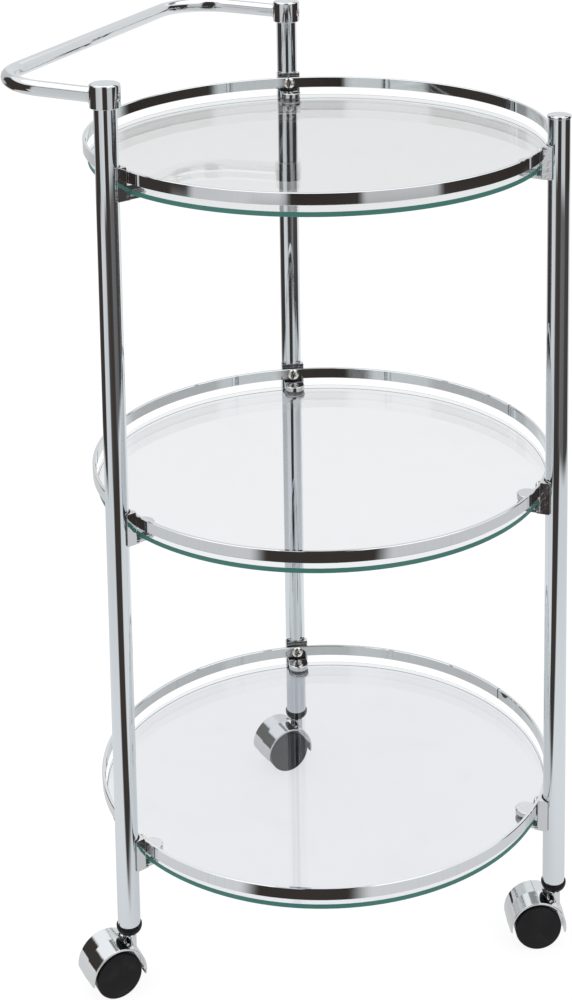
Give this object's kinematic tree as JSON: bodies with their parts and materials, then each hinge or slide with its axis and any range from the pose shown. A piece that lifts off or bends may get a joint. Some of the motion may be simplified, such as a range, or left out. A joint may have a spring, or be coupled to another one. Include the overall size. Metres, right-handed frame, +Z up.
{
  "type": "round three-tier glass trolley",
  "caption": "Round serving or treatment trolley: clear glass discs with guard rings clamped to slim tubular posts, U-shaped push handle, hooded swivel casters.",
  "frame": {"origin": "on the floor, at the middle of the bounding box with the casters in their rest position; the common centre line of the round shelves stands at x -3.3 mm, y +12.3 mm from it, because one caster reaches out further than the others", "axes": "+Z up; the push handle is on the -X side, the short capped post on the +X side; the shelves' common centre line is parallel to Z"},
  "size_m": [0.4472, 0.4257, 0.7796],
  "materials": {
    "chrome_post": "polished",
    "chrome_cap": "polished",
    "chrome_ring": "polished",
    "clear_glass": "clear float glass, polished edge",
    "chrome_bracket": "plated die casting",
    "clear_pad": "translucent soft pad",
    "steel_screw": "bright plated",
    "socket_screw": "polished",
    "chrome_handle": "polished",
    "chrome_socket": "polished",
    "brass_insert": "turned",
    "black_plug": "satin moulded",
    "stem_steel": "zinc plated",
    "spring_steel": "spring steel",
    "chrome_hood": "plated die casting",
    "axle_steel": "ground",
    "black_wheel": "moulded"
  },
  "bodies": {
    "frame": {"bottom_bracket_screws": "steel_screw", "bottom_glass_pads": "clear_pad", "bottom_glass_shelf": "clear_glass", "bottom_guard_ring": "chrome_ring", "bracket_bottom_front_left": "chrome_bracket", "bracket_bottom_rear": "chrome_bracket", "bracket_bottom_right": "chrome_bracket", "bracket_middle_front_left": "chrome_bracket", "bracket_middle_rear": "chrome_bracket", "bracket_middle_right": "chrome_bracket", "bracket_top_front_left": "chrome_bracket", "bracket_top_rear": "chrome_bracket", "bracket_top_right": "chrome_bracket", "caster_stem_front_left": "stem_steel", "caster_stem_rear": "stem_steel", "caster_stem_right": "stem_steel", "foot_plug_front_left": "black_plug", "foot_plug_rear": "black_plug", "foot_plug_right": "black_plug", "handle_end_inserts": "brass_insert", "handle_screws": "socket_screw", "handle_socket_front_left": "chrome_socket", "handle_socket_rear": "chrome_socket", "handle_tube": "chrome_handle", "middle_bracket_screws": "steel_screw", "middle_glass_pads": "clear_pad", "middle_glass_shelf": "clear_glass", "middle_guard_ring": "chrome_ring", "post_cap_right": "chrome_cap", "post_front_left": "chrome_post", "post_rear": "chrome_post", "post_right": "chrome_post", "stem_grip_rings": "spring_steel", "top_bracket_screws": "steel_screw", "top_glass_pads": "clear_pad", "top_glass_shelf": "clear_glass", "top_guard_ring": "chrome_ring"},
    "swivel_front_left": {"caster_hood_front_left": "chrome_hood", "caster_axle_front_left": "axle_steel"},
    "wheel_a_front_left": {"caster_wheel_a_front_left": "black_wheel"},
    "wheel_b_front_left": {"caster_wheel_b_front_left": "black_wheel"},
    "swivel_rear": {"caster_hood_rear": "chrome_hood", "caster_axle_rear": "axle_steel"},
    "wheel_a_rear": {"caster_wheel_a_rear": "black_wheel"},
    "wheel_b_rear": {"caster_wheel_b_rear": "black_wheel"},
    "swivel_right": {"caster_hood_right": "chrome_hood", "caster_axle_right": "axle_steel"},
    "wheel_a_right": {"caster_wheel_a_right": "black_wheel"},
    "wheel_b_right": {"caster_wheel_b_right": "black_wheel"}
  },
  "joints": [
    {"name": "swivel_front_left", "type": "hinge", "parent": "frame", "child": "swivel_front_left", "pos_m": [-0.1093, -0.1713, 0.045], "axis": [0, 0, 1], "continuous": true},
    {"name": "wheel_a_spin_front_left", "type": "hinge", "parent": "swivel_front_left", "child": "wheel_a_front_left", "pos_m": [-0.11958, -0.18355, 0.02], "axis": [-0.766, 0.6428, 0], "continuous": true},
    {"name": "wheel_b_spin_front_left", "type": "hinge", "parent": "swivel_front_left", "child": "wheel_b_front_left", "pos_m": [-0.11958, -0.18355, 0.02], "axis": [-0.766, 0.6428, 0], "continuous": true},
    {"name": "swivel_rear", "type": "hinge", "parent": "frame", "child": "swivel_rear", "pos_m": [-0.1093, 0.1959, 0.045], "axis": [0, 0, 1], "continuous": true},
    {"name": "wheel_a_spin_rear", "type": "hinge", "parent": "swivel_rear", "child": "wheel_a_rear", "pos_m": [-0.11958, 0.18364, 0.02], "axis": [-0.766, 0.6428, 0], "continuous": true},
    {"name": "wheel_b_spin_rear", "type": "hinge", "parent": "swivel_rear", "child": "wheel_b_rear", "pos_m": [-0.11958, 0.18364, 0.02], "axis": [-0.766, 0.6428, 0], "continuous": true},
    {"name": "swivel_right", "type": "hinge", "parent": "frame", "child": "swivel_right", "pos_m": [0.2087, 0.0123, 0.045], "axis": [0, 0, 1], "continuous": true},
    {"name": "wheel_a_spin_right", "type": "hinge", "parent": "swivel_right", "child": "wheel_a_right", "pos_m": [0.19451, 0.00491, 0.02], "axis": [-0.4617, 0.887, 0], "continuous": true},
    {"name": "wheel_b_spin_right", "type": "hinge", "parent": "swivel_right", "child": "wheel_b_right", "pos_m": [0.19451, 0.00491, 0.02], "axis": [-0.4617, 0.887, 0], "continuous": true}
  ]
}
